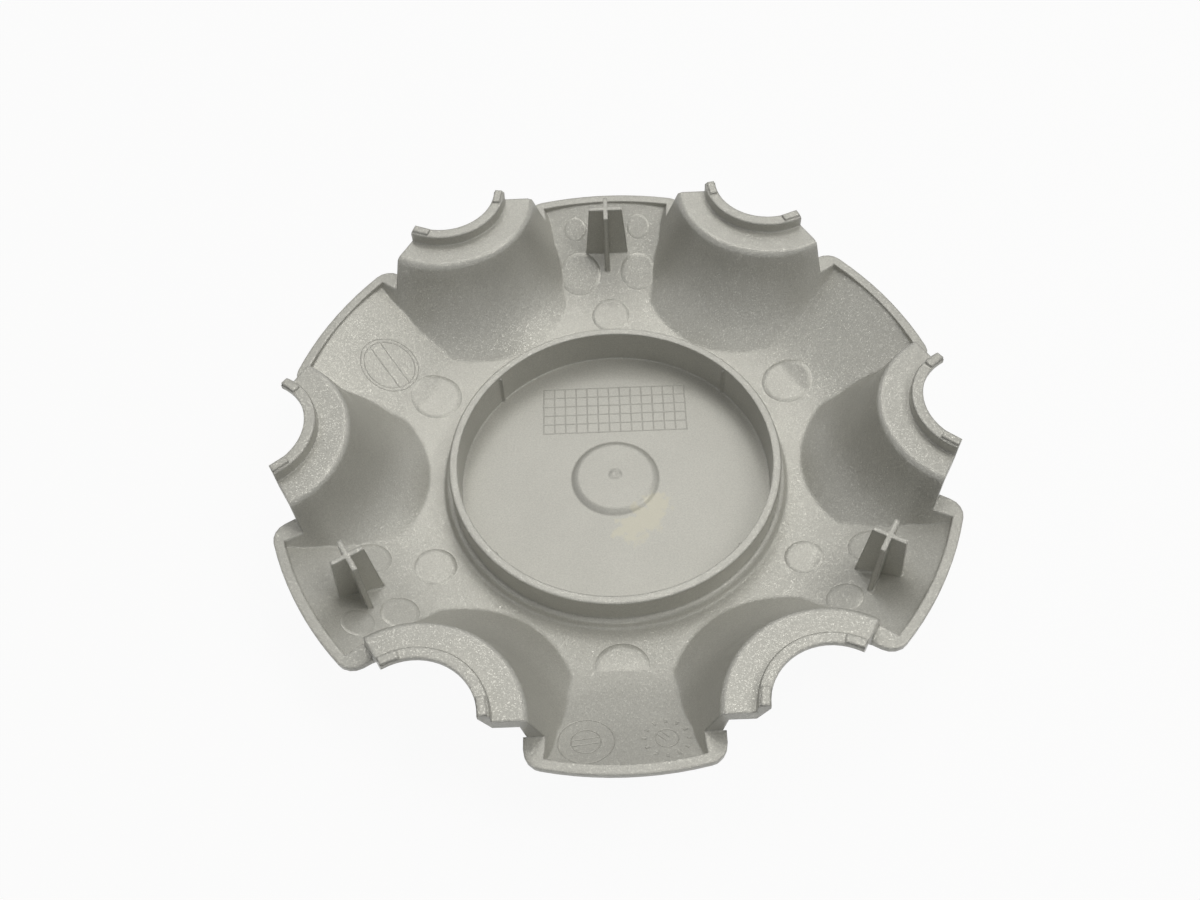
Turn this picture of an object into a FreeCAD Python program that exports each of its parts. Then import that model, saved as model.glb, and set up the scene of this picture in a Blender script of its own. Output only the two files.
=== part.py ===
import FreeCAD, Part
import math
import os
import Sketcher

# A moulded plastic centre cap for a six-stud wheel, modelled as it lies in use on a bench:
# its smooth front face is down, its hollow back is up, and +Z points out of the back.
# The origin is on the cap's axis, in the plane of the front face. All lengths in mm.
#
# Six cups, one round each wheel stud, stand up from a shallow dish. Between them six
# sectors reach out to the rim, and a low ring stands round the middle.

SIZES = {
    # Stud circle of the wheel. The rim, the ring, the posts and the crease are each set
    # in from it by a distance of their own.
    "stud_circle_radius": 69.85,
    # Dish: flat middle disc, gently coned zone, then the arched sector floors.
    "dish_wall": 2.3,
    "boss_radius": 9.0,
    "boss_rise": 0.75,
    "boss_edge_width": 1.6,
    "zone_gap": 0.8,
    "zone_height": 3.65,
    "crease_inset": 25.65,
    "crease_height": 5.05,
    "crease_lean": 15.0,
    "floor_arc": 118.0,
    "floor_reach": 16.4,
    # Rim at the end of each sector.
    "rim_inset": 2.15,
    "rim_height": 15.9,
    "rim_lean": 31.0,
    "rim_band": 1.9,
    "rim_step": 0.5,
    "rim_edge": 1.2,
    "rim_bevel": 1.3,
    "ear_reach": 17.2,
    "ear_round": 3.6,
    "ear_root": 15.3,
    # Middle ring with a ledge at its foot.
    "ring_inset": 36.65,
    "ring_wall": 1.7,
    "ring_height": 10.5,
    "ring_bevel": 0.35,
    "ledge_height": 4.9,
    "ledge_width": 0.9,
    "crush_rib_rise": 0.5,
    "crush_rib_width": 1.0,
    "crush_rib_turn": 42.0,
    # Stud cups, measured from their own axis.
    "cup_height": 25.4,
    "cup_wall": 2.6,
    "roof_wall": 1.74,
    "notch_radius": 10.9,
    "lip_width": 2.2,
    "lip_rise": 2.4,
    "lip_bevel": 0.35,
    "lip_land": 1.0,
    "seat_slope": 0.52,
    "flange_radius": 19.3,
    "flange_round": 1.3,
    "shoulder_out": 0.8,
    "shoulder_drop": 3.6,
    "flare_radius": 33.5,
    "flare_height": 3.2,
    "flare_lean": 31.0,
    # Small contact pads near both ends of each lip.
    "pad_rise": 0.4,
    "pad_inset": 0.15,
    "pad_width": 1.5,
    "pad_length": 3.4,
    "pad_turn": 51.5,
    # Cross-shaped posts on every other sector.
    "post_inset": 13.75,
    "post_height": 23.3,
    "post_half_radial": 3.2,
    "post_half_across": 3.55,
    "post_taper": 0.08,
    "blade": 0.95,
    # How far the outlines of cuts run on past the part.
    "overrun": 30.0,
}

SEATS = 6
POSTS = 3
FULL_TURN = 360.0
# The two cut planes of a cup meet at this angle, so this much of its circle is left.
SEAT_ARC = 120.0
SEAT_STEP = "60deg"
HALF_STEP = "30deg"
# A cup is turned this far, which stays outside the rim at both ends.
HALF_TURN = 180.0

# Radii measured from the cap's own axis.
RIM_RADIUS = "(Sizes.stud_circle_radius - Sizes.rim_inset)"
RING_RADIUS = "(Sizes.stud_circle_radius - Sizes.ring_inset)"
POST_RADIUS = "(Sizes.stud_circle_radius - Sizes.post_inset)"
CREASE_RADIUS = "(Sizes.stud_circle_radius - Sizes.crease_inset)"
ZONE_RADIUS = f"({RING_RADIUS} + Sizes.ledge_width + Sizes.zone_gap)"

# Curves drawn as short straight runs, so that turned faces stay light. Each pair is the
# share of the way across and of the way down at one corner.
WALL_CURVE = ((0.239, 0.519), (0.582, 0.79))
POCKET_CURVE = ((0.1, 0.43),)
BOSS_CURVE = ((0.56, 0.25),)
EAR_CURVE = ((0.34, 0.072), (0.643, 0.281), (0.871, 0.602))
FRONT_CURVE = ((0.51, 0.449),)
ROUND_CURVE = ((0.707, 0.293),)


def write_sheet(document):
    sheet = document.addObject("Spreadsheet::Sheet", "Sizes")
    for row, (alias, length) in enumerate(SIZES.items(), start=1):
        sheet.set(f"A{row}", alias)
        sheet.set(f"B{row}", str(length))
        sheet.setAlias(f"B{row}", alias)
    document.recompute()
    return sheet


def origin_part(body, role):
    return next(item for item in body.Origin.OriginFeatures if item.Role == role)


def new_sketch(body, name, role, offset=None):
    """Sketch on one of the body's origin planes; offset maps placement paths to expressions."""
    sketch = body.newObject("Sketcher::SketchObject", name)
    sketch.AttachmentSupport = [(origin_part(body, role), "")]
    sketch.MapMode = "FlatFace"
    for path, expression in (offset or {}).items():
        sketch.setExpression("AttachmentOffset." + path, expression)
    return sketch


def pin_point(sketch, edge, end, across, along):
    """Tie one end of an edge to the sketch origin by two expressions."""
    for kind, axis, expression in (("DistanceX", -2, across), ("DistanceY", -1, along)):
        if expression == "0":
            sketch.addConstraint(Sketcher.Constraint("PointOnObject", edge, end, axis))
            continue
        here = float(sketch.evalExpression(expression))
        tie = sketch.addConstraint(Sketcher.Constraint(kind, -1, 1, edge, end, here))
        sketch.setExpression(f"Constraints[{tie}]", expression)


def arc_between(start, finish, radius, turn):
    """Arc from start to finish; turn is +1 for anticlockwise travel and -1 for clockwise."""
    chord = finish - start
    rise = math.sqrt(max(radius ** 2 - (chord.Length / 2) ** 2, 0.0))
    aside = FreeCAD.Vector(-chord.y, chord.x, 0).normalize() * rise * turn
    centre = (start + finish) / 2 + aside
    first, last = (start, finish) if turn > 0 else (finish, start)
    angles = [math.atan2(p.y - centre.y, p.x - centre.x) for p in (first, last)]
    circle = Part.Circle(centre, FreeCAD.Vector(0, 0, 1), radius)
    return Part.ArcOfCircle(circle, angles[0], angles[1])


def draw_outline(sketch, corners, arcs=None):
    """Closed outline. corners are pairs of expressions; arcs maps the number of an edge
    to its radius expression and its turn."""
    arcs = arcs or {}
    spots = []
    for across, along in corners:
        spots.append(FreeCAD.Vector(float(sketch.evalExpression(across)),
                                    float(sketch.evalExpression(along)), 0))
    ends = []
    for number, start in enumerate(spots):
        finish = spots[(number + 1) % len(spots)]
        if number in arcs:
            radius, turn = arcs[number]
            curve = arc_between(start, finish, float(sketch.evalExpression(radius)), turn)
            edge = sketch.addGeometry(curve)
            ends.append((edge, 1, 2) if turn > 0 else (edge, 2, 1))
            tie = sketch.addConstraint(
                Sketcher.Constraint("Radius", edge, float(sketch.evalExpression(radius))))
            sketch.setExpression(f"Constraints[{tie}]", radius)
        else:
            edge = sketch.addGeometry(Part.LineSegment(start, finish))
            ends.append((edge, 1, 2))
    for number, (edge, head, tail) in enumerate(ends):
        after = ends[(number + 1) % len(ends)]
        sketch.addConstraint(Sketcher.Constraint("Coincident", edge, tail, after[0], after[1]))
        pin_point(sketch, edge, head, corners[number][0], corners[number][1])


def along_curve(start, finish, curve):
    """Corners between two others, at the shares that the curve gives."""
    corners = []
    for out, down in curve:
        corners.append((f"({start[0]}) + (({finish[0]}) - ({start[0]})) * {out}",
                        f"({start[1]}) + (({finish[1]}) - ({start[1]})) * {down}"))
    return corners


def turned(body, kind, name, sketch, axis, angle=FULL_TURN):
    """Revolution or Groove about an axis; a part turn is shared to both sides."""
    feature = body.newObject("PartDesign::" + kind, name)
    feature.Profile = sketch
    feature.ReferenceAxis = axis
    feature.Angle = angle
    feature.Midplane = angle < FULL_TURN
    sketch.Visibility = False
    return feature


def pad_both_ways(body, name, sketch, thickness):
    feature = body.newObject("PartDesign::Pad", name)
    feature.Profile = sketch
    feature.SideType = "Symmetric"
    feature.setExpression("Length", thickness)
    return feature


def cut_through(body, name, sketch, both_ways=True):
    feature = body.newObject("PartDesign::Pocket", name)
    feature.Profile = sketch
    feature.Type = "ThroughAll"
    if both_ways:
        feature.Midplane = True
    else:
        feature.Reversed = True
    return feature


def round_axis(body, name, originals, count):
    pattern = body.newObject("PartDesign::PolarPattern", name)
    pattern.Originals = originals
    pattern.Axis = (origin_part(body, "Z_Axis"), [""])
    pattern.Angle = FULL_TURN
    pattern.Occurrences = count
    body.Tip = pattern
    return pattern


ZONE_SLOPE = ("((Sizes.crease_height - Sizes.zone_height)"
              f" / ({CREASE_RADIUS} - {ZONE_RADIUS}))")


def add_dish(body):
    """Everything turned about the cap's own axis, solid down to the front plane."""
    sketch = new_sketch(body, "DishProfile", "XZ_Plane")
    boss_top = ("Sizes.boss_radius - Sizes.boss_edge_width", "Sizes.dish_wall + Sizes.boss_rise")
    boss_foot = ("Sizes.boss_radius", "Sizes.dish_wall")
    corners = [
        ("0", "0"),
        ("0", "Sizes.dish_wall + Sizes.boss_rise"),
        boss_top,
        *along_curve(boss_top, boss_foot, BOSS_CURVE),
        boss_foot,
        (f"{RING_RADIUS} - Sizes.ring_wall", "Sizes.dish_wall"),
        (f"{RING_RADIUS} - Sizes.ring_wall", "Sizes.ring_height"),
        (f"{RING_RADIUS} - Sizes.ring_bevel", "Sizes.ring_height"),
        (RING_RADIUS, "Sizes.ring_height - Sizes.ring_bevel"),
        (RING_RADIUS, "Sizes.ledge_height"),
        (f"{RING_RADIUS} + Sizes.ledge_width", "Sizes.ledge_height"),
        (ZONE_RADIUS, "Sizes.zone_height"),
        (f"{RIM_RADIUS} - Sizes.rim_band",
         f"Sizes.zone_height + ({RIM_RADIUS} - Sizes.rim_band - {ZONE_RADIUS})"
         f" * {ZONE_SLOPE}"),
        (f"{RIM_RADIUS} - Sizes.rim_band", "Sizes.rim_height"),
        (RIM_RADIUS, "Sizes.rim_height"),
        (RIM_RADIUS, "0"),
    ]
    draw_outline(sketch, corners)
    return turned(body, "Revolution", "Dish", sketch, (origin_part(body, "Z_Axis"), [""]))


def add_floors(body):
    """Sector floors, straight across and arched along the radius, from the crease to the rim."""
    sketch = new_sketch(body, "FloorProfile", "YZ_Plane")
    band = f"{RIM_RADIUS} - Sizes.rim_band"
    edge = "Sizes.rim_height - Sizes.rim_step"
    corners = [
        (CREASE_RADIUS, "0"),
        (f"{RIM_RADIUS} + Sizes.rim_band", "0"),
        (f"{RIM_RADIUS} + Sizes.rim_band", edge),
        (band, edge),
        (CREASE_RADIUS, "Sizes.crease_height"),
    ]
    draw_outline(sketch, corners, {3: ("Sizes.floor_arc", -1)})
    floor = pad_both_ways(body, "Floor", sketch, "Sizes.floor_reach * 2")
    body.Document.recompute()
    return round_axis(body, "Floors", [floor], SEATS)


SEAT_AXIS_OFFSET = {"Base.x": "Sizes.stud_circle_radius"}


def add_cups(body):
    """One cup, turned about its stud axis, and its copies round the cap."""
    sketch = new_sketch(body, "CupProfile", "XZ_Plane", SEAT_AXIS_OFFSET)
    flange = "Sizes.cup_height - Sizes.lip_rise"
    lip = "-Sizes.notch_radius - Sizes.lip_width"
    round_top = ("-Sizes.flange_radius + Sizes.flange_round", flange)
    round_foot = ("-Sizes.flange_radius", flange + " - Sizes.flange_round")
    shoulder = ("-Sizes.flange_radius - Sizes.shoulder_out", flange + " - Sizes.shoulder_drop")
    flare = ("-Sizes.flare_radius", "Sizes.flare_height")
    corners = [
        ("-Sizes.notch_radius", "0"),
        ("-Sizes.notch_radius", "Sizes.cup_height"),
        (lip + " + Sizes.lip_bevel", "Sizes.cup_height"),
        (lip, "Sizes.cup_height - Sizes.lip_bevel"),
        (lip, flange),
        round_top,
        *along_curve(round_top, round_foot, ROUND_CURVE),
        round_foot,
        shoulder,
        *along_curve(shoulder, flare, WALL_CURVE),
        flare,
        ("-Sizes.flare_radius - Sizes.flare_height / tan(Sizes.flare_lean * 1deg)", "0"),
    ]
    draw_outline(sketch, corners)
    cup = turned(body, "Revolution", "Cup", sketch, (sketch, ["V_Axis"]), HALF_TURN)
    body.Document.recompute()
    return round_axis(body, "Cups", [cup], SEATS)


# The cups end on six flat planes, each square to a sector, that meet on the stud axes.
CUT_PLANE = f"Sizes.stud_circle_radius * cos({HALF_STEP})"


def trim_cups(body):
    """Above the rim nothing stands outside the hexagon whose corners are the stud axes."""
    sketch = new_sketch(body, "HexagonTrim", "XY_Plane", {"Base.z": "Sizes.rim_height"})
    corners = []
    for seat in range(SEATS):
        turn = f"({seat} * {SEAT_STEP})"
        corners.append((f"Sizes.stud_circle_radius * cos({turn})",
                        f"Sizes.stud_circle_radius * sin({turn})"))
    corners[0] = (corners[0][0], "0")
    corners[SEATS // 2] = (corners[SEATS // 2][0], "0")
    draw_outline(sketch, corners)
    circle = Part.Circle(FreeCAD.Vector(), FreeCAD.Vector(0, 0, 1), 1.0)
    outer = sketch.addGeometry(circle)
    sketch.addConstraint(Sketcher.Constraint("Coincident", outer, 3, -1, 1))
    tie = sketch.addConstraint(Sketcher.Constraint("Radius", outer, 1.0))
    sketch.setExpression(f"Constraints[{tie}]", "Sizes.stud_circle_radius + Sizes.overrun")
    return cut_through(body, "CupEnds", sketch, both_ways=False)


def trim_rim(body):
    """Nothing reaches past the rim circle."""
    sketch = new_sketch(body, "RimTrim", "XZ_Plane")
    beyond = "Sizes.stud_circle_radius + Sizes.flare_radius + Sizes.overrun"
    corners = [
        (RIM_RADIUS, "-Sizes.overrun"),
        (beyond, "-Sizes.overrun"),
        (beyond, "Sizes.cup_height + Sizes.overrun"),
        (RIM_RADIUS, "Sizes.cup_height + Sizes.overrun"),
    ]
    draw_outline(sketch, corners)
    return turned(body, "Groove", "RimCut", sketch, (origin_part(body, "Z_Axis"), [""]))


def trim_gaps(body):
    """Open each stud place outwards, leaving the rounded ears at the ends of the rims."""
    sketch = new_sketch(body, "GapTrim", "XY_Plane")
    reach = f"({RIM_RADIUS} - Sizes.ear_round)"
    aside = "(Sizes.ear_reach - Sizes.ear_round)"
    along = f"sqrt({reach} ^ 2 - {aside} ^ 2)"
    outward = f"({RIM_RADIUS} / {reach})"
    beyond = f"(({RIM_RADIUS} + Sizes.overrun) / {reach})"

    def in_sector(distance, offset):
        return (f"{distance} * cos({HALF_STEP}) + {offset} * sin({HALF_STEP})",
                f"{distance} * sin({HALF_STEP}) - {offset} * cos({HALF_STEP})")

    ear_side = (along, "Sizes.ear_reach")
    ear_tip = (f"{along} * {outward}", f"{aside} * {outward}")
    outline = [
        (f"({CUT_PLANE})", "Sizes.ear_reach"),
        ear_side,
        *along_curve(ear_side, ear_tip, EAR_CURVE),
        ear_tip,
        (f"{along} * {beyond}", f"{aside} * {beyond}"),
    ]
    half = [in_sector(f"({distance})", f"({offset})") for distance, offset in outline]
    mirrored = [(across, f"-({rise})") for across, rise in reversed(half)]
    corners = [("Sizes.stud_circle_radius", "0")] + half + mirrored
    draw_outline(sketch, corners)
    gap = cut_through(body, "Gap", sketch)
    body.Document.recompute()
    return round_axis(body, "Gaps", [gap], SEATS)


def add_posts(body):
    """Cross-shaped posts: one blade along the radius and one across it, both tapered."""
    reach = "Sizes.post_height * Sizes.post_taper"

    def blade(name, role, middle, half, offset=None):
        sketch = new_sketch(body, name + "Profile", role, offset)
        corners = [
            (f"{middle}-{half} - {reach}", "0"),
            (f"{middle}+{half} + {reach}", "0"),
            (f"{middle}+{half}", "Sizes.post_height"),
            (f"{middle}-{half}", "Sizes.post_height"),
        ]
        draw_outline(sketch, corners)
        return pad_both_ways(body, name, sketch, "Sizes.blade")

    radial = blade("RadialBlade", "YZ_Plane", POST_RADIUS, "Sizes.post_half_radial")
    across = blade("CrossBlade", "XZ_Plane", "", "Sizes.post_half_across",
                   {"Base.z": f"-{POST_RADIUS}"})
    body.Document.recompute()
    return round_axis(body, "Posts", [radial, across], POSTS)


def hollow_front(body):
    """Turn away the space in front of the dish, leaving an even wall."""
    sketch = new_sketch(body, "FrontProfile", "XZ_Plane")
    crease_across = f"{CREASE_RADIUS} + Sizes.dish_wall * sin(Sizes.crease_lean * 1deg)"
    crease_along = "Sizes.crease_height - Sizes.dish_wall * cos(Sizes.crease_lean * 1deg)"
    rim_rise = ("Sizes.rim_height - Sizes.rim_step"
                " - Sizes.dish_wall / cos(Sizes.rim_lean * 1deg)"
                " + (Sizes.rim_band - Sizes.rim_bevel) * tan(Sizes.rim_lean * 1deg)")
    beyond = f"{RIM_RADIUS} + Sizes.overrun"
    crease = (crease_across, crease_along)
    rim = (f"{RIM_RADIUS} - Sizes.rim_bevel", rim_rise)
    corners = [
        (f"{crease_across} - ({crease_along}) / {ZONE_SLOPE}", "0"),
        crease,
        *along_curve(crease, rim, FRONT_CURVE),
        rim,
        (RIM_RADIUS, "Sizes.rim_height - Sizes.rim_edge"),
        (beyond, "Sizes.rim_height - Sizes.rim_edge"),
        (beyond, "0"),
    ]
    draw_outline(sketch, corners)
    return turned(body, "Groove", "Front", sketch, (origin_part(body, "Z_Axis"), [""]))


def hollow_cups(body):
    """The pocket inside each cup, open to the front and out to the side."""
    sketch = new_sketch(body, "PocketProfile", "XZ_Plane", SEAT_AXIS_OFFSET)
    roof = "Sizes.cup_height - Sizes.lip_rise - Sizes.cup_wall"
    land = "Sizes.cup_height - Sizes.lip_land"
    cone = "(Sizes.lip_rise + Sizes.cup_wall - Sizes.lip_land) * Sizes.seat_slope"
    foot = "-Sizes.flare_radius + Sizes.cup_wall * sin(Sizes.flare_lean * 1deg)"
    foot_height = "Sizes.flare_height - Sizes.cup_wall * cos(Sizes.flare_lean * 1deg)"
    wall_top = ("-Sizes.flange_radius + Sizes.roof_wall", roof)
    wall_foot = (foot, foot_height)
    corners = [
        ("0", "0"),
        ("0", land),
        ("-Sizes.notch_radius", land),
        (f"-Sizes.notch_radius - {cone}", roof),
        wall_top,
        *along_curve(wall_top, wall_foot, POCKET_CURVE),
        wall_foot,
        (f"{foot} - ({foot_height}) / tan(Sizes.flare_lean * 1deg)", "0"),
    ]
    draw_outline(sketch, corners)
    pocket = turned(body, "Groove", "Pocket", sketch, (sketch, ["V_Axis"]), SEAT_ARC)
    body.Document.recompute()
    return round_axis(body, "Pockets", [pocket], SEATS)


def relieve_ears(body):
    """Under each ear the wall steps in, so that the ear is a thin flange."""
    sketch = new_sketch(body, "EarProfile", "XY_Plane",
                        {"Base.z": "Sizes.rim_height - Sizes.rim_edge"})
    past_ear = "(Sizes.ear_reach + Sizes.ear_round)"
    past_rim = f"{RIM_RADIUS} + Sizes.ear_round"
    for side in ("", "-"):
        corners = [
            (f"{side}Sizes.ear_root", CUT_PLANE),
            (f"{side}{past_ear}", CUT_PLANE),
            (f"{side}{past_ear}", past_rim),
            (f"{side}Sizes.ear_root", past_rim),
        ]
        draw_outline(sketch, corners)
    ears = body.newObject("PartDesign::Pocket", "EarRelief")
    ears.Profile = sketch
    ears.Type = "ThroughAll"
    body.Document.recompute()
    return round_axis(body, "EarReliefs", [ears], SEATS)


def turned_corner(centre, out, aside, turn):
    """A sketch corner, out and aside along directions turned by an angle about a centre on X."""
    return (f"{centre} + ({out}) * cos({turn}) - ({aside}) * sin({turn})",
            f"({out}) * sin({turn}) + ({aside}) * cos({turn})")


def add_lip_pads(body):
    """Low pads on the lip near both ends, square to its radius."""
    sketch = new_sketch(body, "LipPadProfile", "XY_Plane",
                        {"Base.z": "Sizes.cup_height - Sizes.lip_land / 2"})
    inner = "-(Sizes.notch_radius + Sizes.pad_inset)"
    outer = "-(Sizes.notch_radius + Sizes.pad_inset + Sizes.pad_width)"
    for side in ("", "-"):
        turn = f"({side}Sizes.pad_turn * 1deg)"
        corners = []
        for out, aside in ((inner, ""), (outer, ""), (outer, "-"), (inner, "-")):
            corners.append(turned_corner("Sizes.stud_circle_radius", out,
                                         f"{aside}Sizes.pad_length / 2", turn))
        draw_outline(sketch, corners)
    pads = body.newObject("PartDesign::Pad", "LipPad")
    pads.Profile = sketch
    pads.setExpression("Length", "Sizes.pad_rise + Sizes.lip_land / 2")
    body.Document.recompute()
    return round_axis(body, "LipPads", [pads], SEATS)


def add_crush_ribs(body):
    """Four thin pointed ribs up the inside of the ring."""
    sketch = new_sketch(body, "CrushProfile", "XY_Plane", {"Base.z": "Sizes.dish_wall / 2"})
    tip = f"{RING_RADIUS} - Sizes.ring_wall - Sizes.crush_rib_rise"
    root = f"{RING_RADIUS} - Sizes.ring_wall / 2"
    for quarter in ("", "180deg - ", "180deg + ", "-"):
        turn = f"({quarter}Sizes.crush_rib_turn * 1deg)"
        corners = [
            turned_corner("0", tip, "0", turn),
            turned_corner("0", root, "-Sizes.crush_rib_width", turn),
            turned_corner("0", root, "Sizes.crush_rib_width", turn),
        ]
        draw_outline(sketch, corners)
    ribs = body.newObject("PartDesign::Pad", "CrushRibs")
    ribs.Profile = sketch
    ribs.setExpression("Length", "Sizes.ring_height - Sizes.ring_bevel * 2 - Sizes.dish_wall / 2")
    return ribs


def build_cap(document):
    body = document.addObject("PartDesign::Body", "wheel_cap")
    body.Label = "wheel_cap"
    steps = (add_dish, add_floors, add_cups, trim_cups, trim_rim, trim_gaps, add_posts,
             hollow_front, hollow_cups, relieve_ears, add_lip_pads, add_crush_ribs)
    before = 0.0
    for step in steps:
        feature = step(body)
        document.recompute()
        volume = feature.Shape.Volume
        print(f"{feature.Name}: volume {volume:.0f}, change {volume - before:+.0f}")
        before = volume
    return body


def check_all(document, bodies):
    for item in document.Objects:
        if "Invalid" in item.State or "Error" in item.State:
            raise RuntimeError(f"{item.Name} did not compute: {item.State}")
    for body in bodies:
        if body.Shape.isNull() or not body.Shape.isValid() or len(body.Shape.Solids) != 1:
            raise RuntimeError(f"{body.Label} is not one valid solid")


def main():
    document = FreeCAD.newDocument("WheelCap")
    write_sheet(document)
    cap = build_cap(document)
    check_all(document, [cap])
    box = cap.Shape.optimalBoundingBox()
    print(f"box {box.XLength:.2f} x {box.YLength:.2f} x {box.ZLength:.2f}, z from {box.ZMin:.3f}")
    os.makedirs("parts", exist_ok=True)
    cap.Shape.exportStep("parts/wheel_cap.step")


main()
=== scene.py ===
import bpy
import math
import mathutils
import numpy
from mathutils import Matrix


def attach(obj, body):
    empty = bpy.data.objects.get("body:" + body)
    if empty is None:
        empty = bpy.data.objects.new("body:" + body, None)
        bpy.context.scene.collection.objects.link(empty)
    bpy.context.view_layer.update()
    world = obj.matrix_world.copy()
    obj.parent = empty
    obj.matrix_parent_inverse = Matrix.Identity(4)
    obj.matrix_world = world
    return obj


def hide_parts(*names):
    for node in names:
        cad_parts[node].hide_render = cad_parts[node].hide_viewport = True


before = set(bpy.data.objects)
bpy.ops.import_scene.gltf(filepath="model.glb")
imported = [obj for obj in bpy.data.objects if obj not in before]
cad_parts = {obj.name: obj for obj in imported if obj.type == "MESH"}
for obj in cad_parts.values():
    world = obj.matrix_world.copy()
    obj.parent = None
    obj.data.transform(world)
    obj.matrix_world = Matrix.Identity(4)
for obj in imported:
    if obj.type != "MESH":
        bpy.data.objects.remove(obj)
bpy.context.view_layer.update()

# The wheel cap. One injection-moulded piece of silver-grey ABS with fine metal flake,
# lying on its front face. Its edges are slightly soft, as the mould leaves them, and
# nothing is fixed to it.


def merged_copy(node_name, copy_name):
    """The node's mesh as a piece of its own, with its loose triangles joined."""
    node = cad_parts[node_name]
    bpy.ops.object.select_all(action="DESELECT")
    mesh = node.data.copy()
    mesh.materials.clear()
    copy = bpy.data.objects.new(copy_name, mesh)
    bpy.context.collection.objects.link(copy)
    bpy.context.view_layer.objects.active = copy
    copy.select_set(True)
    bpy.ops.object.mode_set(mode="EDIT")
    bpy.ops.mesh.select_all(action="SELECT")
    bpy.ops.mesh.remove_doubles(threshold=0.000002)
    bpy.ops.mesh.select_all(action="DESELECT")
    bpy.ops.object.mode_set(mode="OBJECT")
    bpy.ops.object.shade_smooth()
    return copy


moulding = merged_copy("wheel_cap", "moulding")

# The turned faces, as the mould was cut: pairs of radius and height in millimetres about
# the axis they were turned on, then the tilt of the surface at both ends where it runs on
# into a flat face. Within one line the surface is one smooth curve.
CAP_LINES = (
    (((7.4, 3.05), (8.296, 2.8625), (9.0, 2.3)), 90.0, None),
    (((31.5, 2.3), (31.5, 10.5)), None, None),
    (((32.85, 10.5), (33.2, 10.15)), 90.0, 0.0),
    (((33.2, 10.15), (33.2, 4.9)), None, None),
    (((34.1, 4.9), (34.9, 3.65)), None, None),
    (((67.7, 14.7), (67.7, 15.9)), None, None),
    (((26.01, 0.0), (44.795, 2.828), (55.814, 7.430), (66.4, 13.077)), None, None),
    (((66.4, 13.077), (67.7, 14.7)), None, None),
)
CUP_LINES = (
    (((12.75, 25.4), (13.1, 25.05)), 90.0, 0.0),
    (((13.1, 25.05), (13.1, 23.0)), None, None),
    (((18.0, 23.0), (18.919, 22.619), (19.3, 21.7), (20.1, 19.4), (23.303, 10.992),
      (27.899, 6.602), (33.5, 3.2), (38.826, 0.0)), 90.0, None),
    (((10.9, 25.4), (10.9, 24.4)), None, None),
    (((10.9, 24.4), (12.98, 20.4)), None, None),
    (((17.56, 20.4), (19.02, 12.046), (32.161, 0.971), (33.778, 0.0)), None, None),
)
# The six seats of the cups stand on one circle, with an arched floor between each two.
SEATS, SEAT_TURN, STUD_CIRCLE = 6, 60, 69.85
FLOOR_CENTRE, FLOOR_ARC = (4.274, 116.09), 118.0
# A gently sloped zone lies round the ring, and meets each floor in a soft crease.
ZONE_LINE = ((34.9, 3.65), (65.8, 8.302))
CREASE, CREASE_TILT, CREASE_WIDTH = 44.2, math.radians(14.2), 6.0
# Half a floor's width over its distance from the middle.
FLOOR_SPREAD = 0.58
# How far off its line a corner may lie, and how nearly its facet has to face as the line.
NEAR, LINE_FACING, FLOOR_FACING = 0.03, 0.9, 0.97


def follow_line(corners, facets, normals, centre, line, lead, tail):
    """Give the facets that lie on one turned line the line's own smooth normals, and
    say which facets they are."""
    followed = numpy.zeros(len(corners), dtype=bool)
    apart = corners[:, :, :2] - numpy.array(centre)
    radius = numpy.linalg.norm(apart, axis=2)
    outward = apart / numpy.maximum(radius, 1e-6)[:, :, None]
    height = corners[:, :, 2]
    middle = outward.mean(axis=1)
    runs = [(b[0] - a[0], b[1] - a[1]) for a, b in zip(line, line[1:])]
    tilts = [math.atan2(run[0], -run[1]) for run in runs]
    joints = [tilts[0] if lead is None else math.radians(lead)]
    joints += [(a + b) / 2 for a, b in zip(tilts, tilts[1:])]
    joints.append(tilts[-1] if tail is None else math.radians(tail))
    for number, (start, run, tilt) in enumerate(zip(line, runs, tilts)):
        length = math.hypot(*run)
        east, north = radius - start[0], height - start[1]
        share = (east * run[0] + north * run[1]) / length ** 2
        off = abs(east * run[1] - north * run[0]) / length
        on_line = (off < NEAR) & (share > -NEAR / length) & (share < 1 + NEAR / length)
        facing = (facets[:, :2] * middle).sum(axis=1) * math.cos(tilt)
        facing = facing + facets[:, 2] * math.sin(tilt)
        chosen = on_line.all(axis=1) & (abs(facing) > LINE_FACING)
        turn = joints[number] + (joints[number + 1] - joints[number]) * share
        smooth = numpy.concatenate([outward * numpy.cos(turn)[:, :, None],
                                    numpy.sin(turn)[:, :, None]], axis=2)
        smooth = smooth * numpy.sign(facing)[:, None, None]
        normals[chosen] = smooth[chosen]
        followed |= chosen
    return followed


def follow_floor(corners, facets, normals, sector):
    """The same for the arched floor that lies at one turn round the axis."""
    along = numpy.array((math.cos(sector), math.sin(sector)))
    east = FLOOR_CENTRE[0] - corners[:, :, :2] @ along
    north = FLOOR_CENTRE[1] - corners[:, :, 2]
    on_arc = abs(numpy.hypot(east, north) - FLOOR_ARC) < NEAR
    smooth = numpy.concatenate([east[:, :, None] * along, north[:, :, None]], axis=2) / FLOOR_ARC
    facing = (smooth.mean(axis=1) * facets).sum(axis=1)
    chosen = on_arc.all(axis=1) & (facing > FLOOR_FACING)
    normals[chosen] = smooth[chosen]
    return chosen


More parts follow.
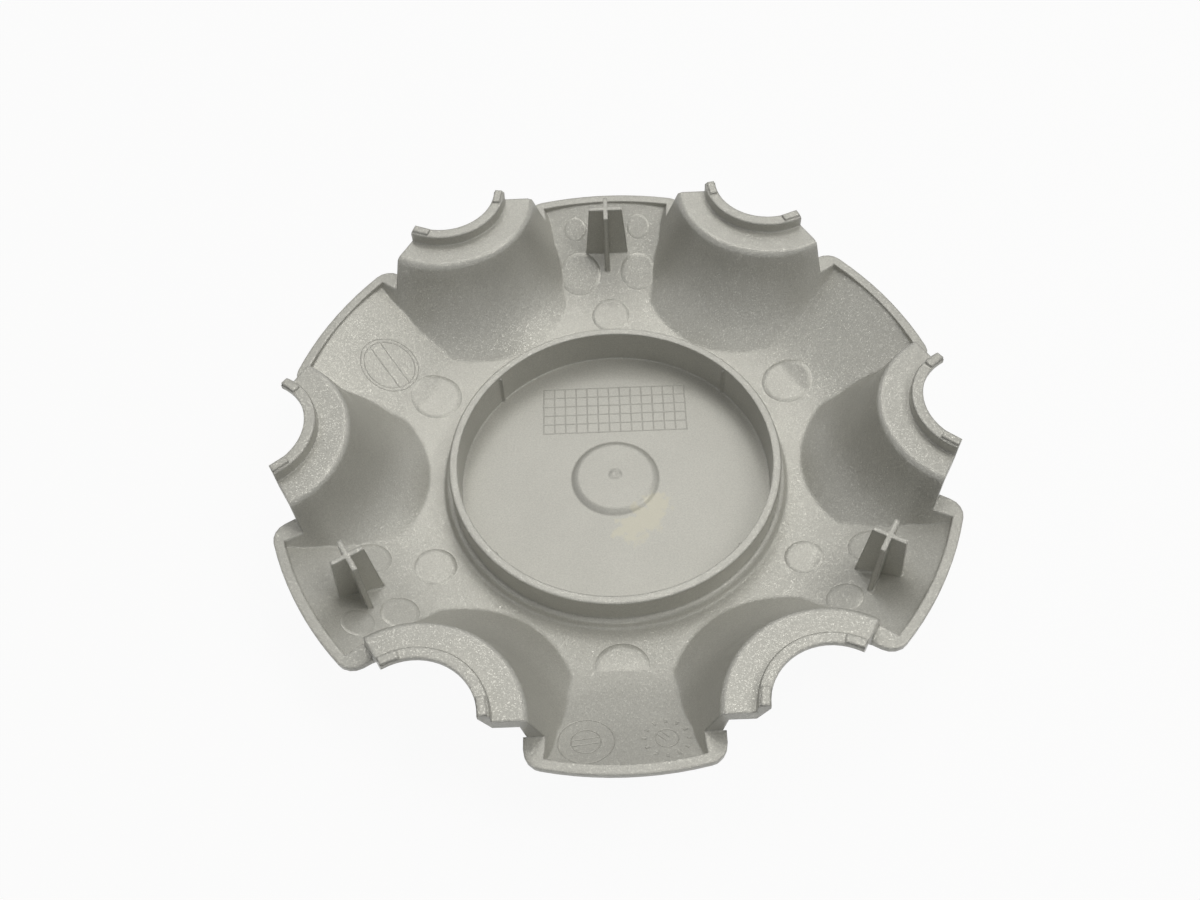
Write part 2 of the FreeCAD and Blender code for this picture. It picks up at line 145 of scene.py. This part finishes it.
def soften_crease(corners, normals, chosen, sector):
    """Blend the sloped zone and one floor where they meet."""
    along = numpy.array((math.cos(sector), math.sin(sector)))
    reach = corners[:, :, :2] @ along
    aside = corners[:, :, :2] @ numpy.array((-along[1], along[0]))
    share = numpy.clip(1 - abs(reach - CREASE) / CREASE_WIDTH, 0, 1)
    share = share * (abs(aside) < reach * FLOOR_SPREAD) * chosen[:, None]
    lean = numpy.append(-along * math.sin(CREASE_TILT), math.cos(CREASE_TILT))
    blend = normals + (lean - normals) * share[:, :, None]
    normals[:] = blend / numpy.linalg.norm(blend, axis=2)[:, :, None]


def smooth_turned_faces(piece):
    """Give the turned faces and the floors their smooth normals. The rest stay flat."""
    mesh = piece.data
    spots = numpy.empty(len(mesh.vertices) * 3)
    mesh.vertices.foreach_get("co", spots)
    loops = numpy.empty(len(mesh.loops), dtype=int)
    mesh.loops.foreach_get("vertex_index", loops)
    corners = spots.reshape(-1, 3)[loops].reshape(-1, 3, 3) * 1000
    facets = numpy.cross(corners[:, 1] - corners[:, 0], corners[:, 2] - corners[:, 0])
    facets = facets / numpy.maximum(numpy.linalg.norm(facets, axis=1), 1e-12)[:, None]
    normals = numpy.repeat(facets[:, None, :], 3, axis=1)
    for line, lead, tail in CAP_LINES:
        follow_line(corners, facets, normals, (0.0, 0.0), line, lead, tail)
    gentle = follow_line(corners, facets, normals, (0.0, 0.0), ZONE_LINE, None, None)
    for seat in range(SEATS):
        turn = math.radians(SEAT_TURN * seat)
        centre = (STUD_CIRCLE * math.cos(turn), STUD_CIRCLE * math.sin(turn))
        for line, lead, tail in CUP_LINES:
            follow_line(corners, facets, normals, centre, line, lead, tail)
        gentle |= follow_floor(corners, facets, normals, turn + math.radians(SEAT_TURN / 2))
    for seat in range(SEATS):
        soften_crease(corners, normals, gentle, math.radians(SEAT_TURN * (seat + 0.5)))
    mesh.normals_split_custom_set(normals.reshape(-1, 3).tolist())


smooth_turned_faces(moulding)

# The plastic and the scale of what shows in it, per metre.
MOULDING_GREY = (0.49, 0.485, 0.445)
FLAKE_SCALE, GRAIN_SCALE, MOTTLE_SCALE, RAGGED_SCALE = 7200.0, 2600.0, 90.0, 420.0
# The disc was polished in the mould as far as here, in metres, so fewer flakes show on it.
POLISHED, UNPOLISHED = 0.0300, 0.0316

# Round inserts in the mould, in millimetres and degrees: centre, outer radius, inner
# radius, the way the pointer lies, and the share of the inner radius that it starts
# behind the middle. The last one has ticks for its outer circle.
DIALS = (
    (-47.1, 26.5, 5.8, 5.1, -52.0, 1.0),
    (-6.7, -60.2, 4.9, 2.6, 8.0, 1.0),
    (7.2, -60.0, 3.9, 2.0, 135.0, 0.1),
)
TICKS = 12
# The plain grid on the disc, in metres: left edge, bottom edge, cell pitch, columns, rows.
GRID_LEFT, GRID_BOTTOM, GRID_PITCH, GRID_COLUMNS, GRID_ROWS = -0.01475, 0.0117, 0.00232, 13, 5
# Half the width of a groove and how deep it is, in metres, and half the pointer's width
# over the inner radius.
GROOVE, GROOVE_DEPTH, POINTER_WIDTH = 0.00008, 0.00006, 0.24

# The stain beside the boss: centre and radius of each of its blots, in metres.
STAIN = ((0.0030, -0.0122, 0.0040), (0.0058, -0.0098, 0.0036), (0.0082, -0.0068, 0.0034))
STAIN_YELLOW, STAIN_STRENGTH = (0.58, 0.555, 0.44, 1.0), 0.6

# How far edges are rounded, and how much further at the feet of the cups, which lie
# between these heights, all in metres.
EDGE_SOFTNESS, FOOT_SOFTNESS = 0.0006, 0.0005
FOOT_START, FOOT_LOW, FOOT_HIGH, FOOT_END = 0.0034, 0.0040, 0.0085, 0.0100


class Wires:
    """Short words for the nodes of one material."""

    def __init__(self, material):
        self.tree = material.node_tree

    def node(self, kind, **settings):
        made = self.tree.nodes.new(kind)
        for name, value in settings.items():
            setattr(made, name, value)
        return made

    def feed(self, socket, value):
        if isinstance(value, bpy.types.NodeSocket):
            self.tree.links.new(value, socket)
        else:
            socket.default_value = value

    def sum(self, operation, *values):
        made = self.node("ShaderNodeMath", operation=operation)
        for socket, value in zip(made.inputs, values):
            self.feed(socket, value)
        return made.outputs[0]

    def product(self, first, *others):
        for other in others:
            first = self.sum("MULTIPLY", first, other)
        return first

    def off(self, value, middle):
        """How far a value is from its middle."""
        return self.sum("ABSOLUTE", self.sum("SUBTRACT", value, middle))

    def step(self, value, low, high, first=0.0, last=1.0):
        """Smooth rise from first to last between low and high."""
        made = self.node("ShaderNodeMapRange", interpolation_type="SMOOTHSTEP")
        for name, item in (("Value", value), ("From Min", low), ("From Max", high),
                           ("To Min", first), ("To Max", last)):
            self.feed(made.inputs[name], item)
        return made.outputs["Result"]

    def vector(self, operation, *values):
        made = self.node("ShaderNodeVectorMath", operation=operation)
        second = made.inputs["Scale" if operation == "SCALE" else 1]
        for socket, value in zip((made.inputs[0], second), values):
            self.feed(socket, value)
        return made.outputs["Value" if operation == "DISTANCE" else "Vector"]

    def parts(self, vector):
        made = self.node("ShaderNodeSeparateXYZ")
        self.feed(made.inputs[0], vector)
        return made.outputs

    def noise(self, place, scale, detail):
        made = self.node("ShaderNodeTexNoise")
        for name, item in (("Vector", place), ("Scale", scale), ("Detail", detail)):
            self.feed(made.inputs[name], item)
        return made.outputs["Fac"]

    def away(self, flat, x, y):
        """Distance in plan from the point x, y."""
        return self.vector("DISTANCE", flat, (x, y, 0.0))


def fine_groove(wires, off):
    """A groove along the line that off is measured from."""
    return wires.step(off, GROOVE * 0.4, GROOVE * 1.6, 1.0, 0.0)


def tick_spokes(wires, flat, x, y):
    """Evenly spaced spokes round the point x, y."""
    local = wires.parts(wires.vector("SUBTRACT", flat, (x, y, 0.0)))
    turn = wires.sum("ARCTAN2", local["Y"], local["X"])
    count = wires.product(turn, TICKS / (2 * math.pi))
    return wires.step(wires.off(count, wires.sum("ROUND", count)), 0.08, 0.15, 1.0, 0.0)


def insert_grooves(wires, flat):
    """The circles, the ticks and the pointer of each round insert."""
    grooves = []
    for dial in DIALS:
        x, y, outer, inner = (size / 1000 for size in dial[:4])
        turn, behind = dial[4:]
        apart = wires.away(flat, x, y)
        local = wires.node("ShaderNodeMapping", vector_type="TEXTURE")
        wires.feed(local.inputs["Vector"], flat)
        wires.feed(local.inputs["Location"], (x, y, 0.0))
        wires.feed(local.inputs["Rotation"], (0.0, 0.0, math.radians(turn)))
        along = wires.parts(local.outputs[0])
        if dial == DIALS[-1]:
            band = wires.step(wires.off(apart, outer), 0.0003, 0.00045, 1.0, 0.0)
            grooves.append(wires.product(band, tick_spokes(wires, flat, x, y)))
        else:
            grooves.append(fine_groove(wires, wires.off(apart, outer)))
        grooves.append(fine_groove(wires, wires.off(apart, inner)))
        aside = wires.off(wires.sum("ABSOLUTE", along["Y"]), inner * POINTER_WIDTH)
        within = wires.step(apart, inner - GROOVE, inner, 1.0, 0.0)
        start = wires.step(along["X"], -inner * behind - GROOVE, -inner * behind)
        grooves.append(wires.product(fine_groove(wires, aside), within, start))
    return grooves


def grid_grooves(wires, axes):
    """The lines of the plain grid on the disc."""
    bars, spans = [], []
    for axis, edge, count in (("X", GRID_LEFT, GRID_COLUMNS), ("Y", GRID_BOTTOM, GRID_ROWS)):
        cells = wires.sum("DIVIDE", wires.sum("SUBTRACT", axes[axis], edge), GRID_PITCH)
        nearest = wires.off(cells, wires.sum("ROUND", cells))
        bars.append(wires.step(nearest, 0.02, 0.06, 1.0, 0.0))
        middle = wires.off(cells, count / 2)
        spans.append(wires.step(middle, count / 2 + 0.03, count / 2 + 0.06, 1.0, 0.0))
    return wires.product(wires.sum("MAXIMUM", *bars), *spans)


def silver_plastic(name, softness):
    """The plastic of the moulding, with its edges rounded by the softness."""
    material = bpy.data.materials.new(name)
    material.use_nodes = True
    wires = Wires(material)
    shader = material.node_tree.nodes["Principled BSDF"]
    shader.inputs["Specular IOR Level"].default_value = 0.45

    place = wires.node("ShaderNodeTexCoord").outputs["Object"]
    axes = wires.parts(place)
    plan = wires.node("ShaderNodeCombineXYZ")
    wires.feed(plan.inputs["X"], axes["X"])
    wires.feed(plan.inputs["Y"], axes["Y"])
    flat = plan.outputs[0]

    # Only faces that look out of the back carry the marks.
    facing = wires.parts(wires.node("ShaderNodeTexCoord").outputs["Normal"])
    upward = wires.step(facing["Z"], 0.55, 0.7)
    cut = grid_grooves(wires, axes)
    for groove in insert_grooves(wires, flat):
        cut = wires.sum("MAXIMUM", cut, groove)
    cut = wires.product(cut, upward)

    # Metal flake, grain, slow mottling of the melt, and painted shade in the grooves.
    flake = wires.node("ShaderNodeTexVoronoi")
    wires.feed(flake.inputs["Vector"], place)
    flake.inputs["Scale"].default_value = FLAKE_SCALE
    fleck = wires.parts(flake.outputs["Color"])
    grain = wires.noise(place, GRAIN_SCALE, 2.0)
    mottle = wires.noise(place, MOTTLE_SCALE, 4.0)
    ragged = wires.noise(place, RAGGED_SCALE, 4.0)
    unpolished = wires.step(wires.away(flat, 0.0, 0.0), POLISHED, UNPOLISHED, 0.15, 1.0)
    bright = wires.product(wires.step(fleck["Z"], 0.80, 0.86), unpolished)
    tone = wires.product(
        wires.sum("MULTIPLY_ADD", fleck["X"], 0.16, 0.92),
        wires.step(grain, 0.25, 0.75, 0.95, 1.05),
        wires.step(mottle, 0.3, 0.7, 0.98, 1.02),
        wires.sum("MULTIPLY_ADD", bright, 0.1, 1.0),
        # Painted shade: the grooves of the grid and the inserts are a little darker.
        wires.sum("MULTIPLY_ADD", cut, -0.05, 1.0))
    grey = wires.vector("SCALE", MOULDING_GREY, tone)

    # The stain beside the middle boss, with a ragged edge.
    unevenness = wires.sum("MULTIPLY_ADD", ragged, 0.009, -0.0045)
    stain = 0.0
    for x, y, radius in STAIN:
        spot = wires.sum("ADD", wires.away(flat, x, y), unevenness)
        blot = wires.step(spot, radius * 0.6, radius, STAIN_STRENGTH, 0.0)
        stain = wires.sum("MAXIMUM", stain, blot)
    mix = wires.node("ShaderNodeMix", data_type="RGBA")
    wires.feed(mix.inputs["Factor"], wires.product(stain, upward))
    wires.feed(mix.inputs["A"], grey)
    mix.inputs["B"].default_value = STAIN_YELLOW
    wires.feed(shader.inputs["Base Color"], mix.outputs["Result"])
    wires.feed(shader.inputs["Metallic"], wires.sum("MULTIPLY_ADD", bright, 0.39, 0.18))
    wires.feed(shader.inputs["Roughness"], wires.step(grain, 0.25, 0.75, 0.33, 0.42))

    # The stub left where the melt came in, worn flat, in the middle of the boss.
    stub = wires.step(wires.away(flat, 0.0, 0.0005), 0.0006, 0.0016, 1.0, 0.0)
    stub = wires.product(stub, upward, wires.sum("MULTIPLY_ADD", ragged, 0.0006, -0.0001))
    height = wires.sum("MULTIPLY_ADD", cut, -GROOVE_DEPTH, stub)
    height = wires.sum("MULTIPLY_ADD", grain, 0.000008, height)
    bump = wires.node("ShaderNodeBump")
    bump.inputs["Distance"].default_value = 1.0
    wires.feed(bump.inputs["Height"], height)
    if softness > 0.0:
        foot = wires.product(wires.step(axes["Z"], FOOT_START, FOOT_LOW),
                             wires.step(axes["Z"], FOOT_HIGH, FOOT_END, 1.0, 0.0))
        softened = wires.node("ShaderNodeBevel", samples=4)
        radius = wires.sum("MULTIPLY_ADD", foot, FOOT_SOFTNESS, softness)
        wires.feed(softened.inputs["Radius"], radius)
        wires.feed(bump.inputs["Normal"], softened.outputs[0])

    # Each bright flake lies at a tilt of its own, so that some of them catch the light.
    lean = wires.vector("SUBTRACT", flake.outputs["Color"], (0.5, 0.5, 0.9))
    tilt = wires.vector("SCALE", lean, wires.product(bright, 0.33))
    turned = wires.vector("NORMALIZE", wires.vector("ADD", bump.outputs[0], tilt))
    wires.feed(shader.inputs["Normal"], turned)
    return material


moulding.data.materials.append(silver_plastic("silver_moulding", EDGE_SOFTNESS))
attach(moulding, "root")
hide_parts("wheel_cap")

# The ejector marks. The pins that pushed the moulding out stood a little short in the
# mould, so each left a low round pad, moulded in one with the floor round it.

# Centre and radius of each pad, seen from the back, in millimetres.
PADS = (
    (-7.0, 60.8, 2.5), (7.2, 60.9, 2.6), (-6.2, 51.4, 4.7), (6.9, 51.5, 4.1), (0.3, 41.6, 4.2),
    (37.2, 21.3, 5.3), (-37.4, 20.7, 5.4), (35.9, -21.4, 3.8), (47.7, -21.4, 3.7),
    (41.8, -32.5, 3.4), (-35.6, -20.5, 4.2), (-47.5, -20.0, 3.7), (-41.2, -32.0, 3.6),
    (-48.1, -35.7, 3.0),
)
# The widest pin stood across the crease. Its pad runs out over this length, past which
# the mould left nothing.
CREASE_PAD, RUN_OUT = (0.0, -43.3, 5.25), 4.0
# How far a pad stands up, how far its edge is let into the floor, and how wide that edge is.
PAD_RISE, PAD_SINK, PAD_EDGE = 0.08, 0.06, 0.2
PAD_SIDES, PAD_RINGS = 56, 4


def floor_height(x, y):
    """Height of the floor at a point, in millimetres."""
    sector = round((math.degrees(math.atan2(y, x)) - SEAT_TURN / 2) / SEAT_TURN)
    turn = math.radians(SEAT_TURN * (sector + 0.5))
    reach = x * math.cos(turn) + y * math.sin(turn)
    (inner, low), (outer, high) = ZONE_LINE
    zone = low + (math.hypot(x, y) - inner) * (high - low) / (outer - inner)
    arch = FLOOR_CENTRE[1] - math.sqrt(FLOOR_ARC ** 2 - (FLOOR_CENTRE[0] - reach) ** 2)
    return max(zone, arch)


def add_pad(x, y, radius, crease=None):
    """A pad that follows the floor, with its edge let into it. It runs out at a crease."""
    bpy.ops.object.select_all(action="DESELECT")
    bpy.ops.mesh.primitive_circle_add(vertices=PAD_SIDES, radius=radius / 1000,
                                      fill_type="NGON", location=(x / 1000, y / 1000, 0.0))
    pad = bpy.context.object
    bpy.ops.object.transform_apply(location=True, rotation=True, scale=True)
    bpy.ops.object.mode_set(mode="EDIT")
    bpy.ops.mesh.select_mode(type="FACE")
    bpy.ops.mesh.select_all(action="SELECT")
    bpy.ops.mesh.inset(thickness=PAD_EDGE / 1000)
    for ring in range(PAD_RINGS):
        bpy.ops.mesh.inset(thickness=(radius - PAD_EDGE) / 1000 / (PAD_RINGS + 1))
    bpy.ops.mesh.poke()
    bpy.ops.object.mode_set(mode="OBJECT")
    for vertex in pad.data.vertices:
        east, north = vertex.co.x * 1000, vertex.co.y * 1000
        proud = float(math.hypot(east - x, north - y) < radius - PAD_EDGE / 2)
        if crease is not None:
            proud *= min(max((north - crease) / RUN_OUT + 0.4, 0.0), 1.0)
        lift = (PAD_RISE + PAD_SINK) * proud - PAD_SINK
        vertex.co.z = (floor_height(east, north) + lift) / 1000
    return pad


pads = [add_pad(*size) for size in PADS]
pads.append(add_pad(*CREASE_PAD, crease=-CREASE))
bpy.ops.object.select_all(action="DESELECT")
for pad in pads:
    pad.select_set(True)
bpy.context.view_layer.objects.active = pads[0]
bpy.ops.object.join()
marks = bpy.context.object
marks.name = "ejector_marks"
bpy.ops.object.shade_smooth()
marks.data.materials.append(silver_plastic("silver_marks", 0.0))
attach(marks, "root")

# The table. A plain pale sheet of card under the cap. It is not part of the object:
# to the camera it is white apart from the cap's own soft shadow.

CARD_WHITE, CARD_ROUGHNESS, CARD_SIZE, CARD_DROP = (0.8, 0.8, 0.8, 1.0), 0.8, 3.0, 0.0002
# How much of the card's own light and shade the camera doesn't see.
CARD_PLAIN = 0.94


def seen_plainly(wires):
    """One where the camera looks, also in a mirror or through glass, and else nothing."""
    rays = wires.node("ShaderNodeLightPath").outputs
    direct = wires.sum("MAXIMUM", rays["Is Camera Ray"], rays["Is Transmission Ray"])
    return wires.sum("MAXIMUM", direct, rays["Is Glossy Ray"])


bpy.ops.object.select_all(action="DESELECT")
bpy.ops.mesh.primitive_plane_add(size=CARD_SIZE, location=(0.0, 0.0, -CARD_DROP))
sheet = bpy.context.object
sheet.name = "table_sheet"

card = bpy.data.materials.new("white_card")
card.use_nodes = True
card_wires = Wires(card)
card_face = card.node_tree.nodes["Principled BSDF"]
card_face.inputs["Base Color"].default_value = CARD_WHITE
card_face.inputs["Roughness"].default_value = CARD_ROUGHNESS
white = card_wires.node("ShaderNodeEmission")
white.inputs["Strength"].default_value = 1.0
blend = card_wires.node("ShaderNodeMixShader")
card_wires.feed(blend.inputs[0], card_wires.product(seen_plainly(card_wires), CARD_PLAIN))
card_wires.feed(blend.inputs[1], card_face.outputs[0])
card_wires.feed(blend.inputs[2], white.outputs[0])
card_wires.feed(card.node_tree.nodes["Material Output"].inputs["Surface"], blend.outputs[0])
sheet.data.materials.append(card)

# Light and camera. Wide soft lamps overhead, one to the right and one behind, two weak
# ones that fill, an even pale room, and a camera above the near edge, as for the photograph.

LAMP_TARGET, LAMP_DISTANCE = mathutils.Vector((0.0, 0.0, 0.008)), 1.0
LAMP_COLOUR = (1.0, 0.985, 0.94)
# Each lamp's direction from the cap, its width in metres and its power in watts.
LAMPS = (
    ("right_lamp", (0.5, 0.0, 0.86), 0.45, 2.52),
    ("back_lamp", (0.0, 0.45, 0.89), 0.45, 1.7),
    ("low_back_lamp", (0.0, 0.75, 0.66), 0.45, 0.45),
    ("front_lamp", (-0.12, -0.36, 0.92), 0.15, 0.4),
)
# The room's light on the cap, and the white that the camera sees.
ROOM_LIGHT, ROOM_WHITE = 0.16, 1.0

for lamp_name, direction, width, power in LAMPS:
    lamp_data = bpy.data.lights.new(lamp_name, "AREA")
    lamp_data.shape = "SQUARE"
    lamp_data.size = width
    lamp_data.energy = power
    lamp_data.color = LAMP_COLOUR
    lamp = bpy.data.objects.new(lamp_name, lamp_data)
    bpy.context.collection.objects.link(lamp)
    toward = mathutils.Vector(direction).normalized()
    lamp.location = LAMP_TARGET + toward * LAMP_DISTANCE
    lamp.rotation_euler = toward.to_track_quat("Z", "Y").to_euler()

room = bpy.data.worlds.new("pale_room")
bpy.context.scene.world = room
room.use_nodes = True
room_wires = Wires(room)
air = room.node_tree.nodes["Background"]
air.inputs["Color"].default_value = (1.0, 1.0, 1.0, 1.0)
level = room_wires.step(seen_plainly(room_wires), 0.0, 1.0, ROOM_LIGHT, ROOM_WHITE)
room_wires.feed(air.inputs["Strength"], level)

# The camera's place and turn, as fitted to the photograph's frame.
camera_data = bpy.data.cameras.new("camera")
camera_data.sensor_width = 36.0
camera_data.lens = 37.563
camera_data.clip_start = 0.01
camera = bpy.data.objects.new("camera", camera_data)
bpy.context.collection.objects.link(camera)
camera.location = (0.000447, -0.140749, 0.217222)
camera.rotation_euler = (math.radians(34.4958), math.radians(1.8666), math.radians(-1.3795))
bpy.context.scene.camera = camera
bpy.context.scene.view_settings.view_transform = "Standard"
